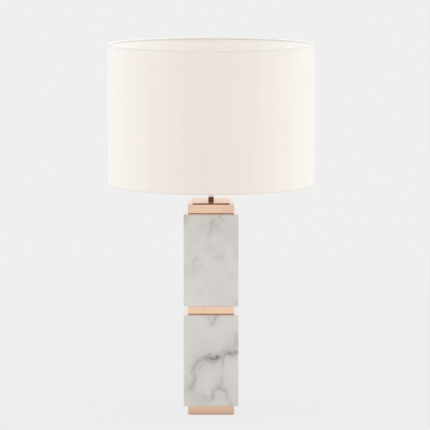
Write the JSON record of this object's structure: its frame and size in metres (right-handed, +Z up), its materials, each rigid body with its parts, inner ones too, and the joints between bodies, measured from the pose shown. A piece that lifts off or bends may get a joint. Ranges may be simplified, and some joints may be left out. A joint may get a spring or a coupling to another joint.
{
  "type": "table lamp",
  "caption": "Table lamp: stacked marble blocks between copper box sections, a slim dark stem and a wide pale fabric drum shade on a screw lampholder.",
  "frame": {"origin": "on the table under the middle of the foot, on the column's axis", "axes": "+Z up along the column and the tie tube, front towards -Y, cord outlet at the back towards +Y"},
  "size_m": [0.448, 0.4478, 0.804],
  "materials": {
    "copper": "polished copper plate",
    "marble": "honed white marble with grey veins",
    "dark_gasket": "matt",
    "felt": "felt",
    "zinc_steel": "zinc plated",
    "black_rubber": "matt",
    "white_plastic": "matt",
    "dark_bronze": "dark bronze plate",
    "holder_plastic": "gloss",
    "brass": "bright",
    "shade_fabric": "fine woven, off-white",
    "shade_liner": "matt white",
    "white_wire": "white epoxy coat",
    "black_insulator": "gloss",
    "nickel_cap": "bright",
    "clear_glass": "clear",
    "nickel_wire": "bright",
    "filament": "matt yellow coat"
  },
  "bodies": {
    "base": {"felt_pad": "felt", "bottom_plate": "zinc_steel", "bottom_plate_screws": "zinc_steel", "plinth": "copper", "cord_grommet": "black_rubber", "base_nut": "zinc_steel", "base_washer": "zinc_steel", "plinth_gasket": "dark_gasket", "lower_marble": "marble", "lower_spacer_gasket": "dark_gasket", "spacer": "copper", "upper_spacer_gasket": "dark_gasket", "upper_marble": "marble", "cap_gasket": "dark_gasket", "centring_bushes": "white_plastic", "cap": "copper", "cap_plate": "dark_bronze", "tie_tube": "dark_bronze", "stem_foot": "dark_bronze", "stem_sleeve": "holder_plastic", "holder_locknut": "zinc_steel", "holder_cap": "holder_plastic", "holder_grub_screw": "zinc_steel", "switch_housing": "holder_plastic", "switch_block": "holder_plastic", "terminal_screws": "brass", "contact_carrier": "holder_plastic", "holder_skirt": "holder_plastic", "screw_shell": "brass", "centre_contact": "brass"},
    "push_bar": {"switch_push_bar": "holder_plastic"},
    "clamp": {"clamp_ring": "holder_plastic"},
    "shade": {"shade_fabric": "shade_fabric", "shade_liner": "shade_liner", "top_ring_wire": "white_wire", "bottom_ring_wire": "white_wire", "top_hem": "shade_fabric", "bottom_hem": "shade_fabric", "fitter_ring": "white_wire", "fitter_spoke_1": "white_wire", "fitter_spoke_2": "white_wire", "fitter_spoke_3": "white_wire"},
    "bulb_seat": {"bulb_contact": "brass"},
    "bulb": {"bulb_insulator": "black_insulator", "bulb_cap": "nickel_cap", "bulb_glass": "clear_glass", "bulb_stem": "clear_glass", "filament_supports": "nickel_wire", "filaments": "filament"}
  },
  "joints": [
    {"name": "shade_turn", "type": "hinge", "parent": "base", "child": "shade", "pos_m": [0, 0, 0.528], "axis": [0, 0, 1], "continuous": true},
    {"name": "clamp_ring_turn", "type": "hinge", "parent": "base", "child": "clamp", "pos_m": [0, 0, 0.533], "axis": [0, 0, 1], "range_deg": [0, 360]},
    {"name": "switch_push", "type": "slide", "parent": "base", "child": "push_bar", "axis": [1, 0, 0], "range_m": [0, 0.005]},
    {"name": "bulb_rise", "type": "slide", "parent": "base", "child": "bulb_seat", "axis": [0, 0, 1], "range_m": [0, 0.01824]},
    {"name": "bulb_turn", "type": "hinge", "parent": "bulb_seat", "child": "bulb", "pos_m": [0, 0, 0.55], "axis": [0, 0, 1], "range_deg": [0, 1800]}
  ],
  "couplings": [
    {"joint": "bulb_rise", "follows": "bulb_turn", "m_per_rad": 0.0005775}
  ]
}
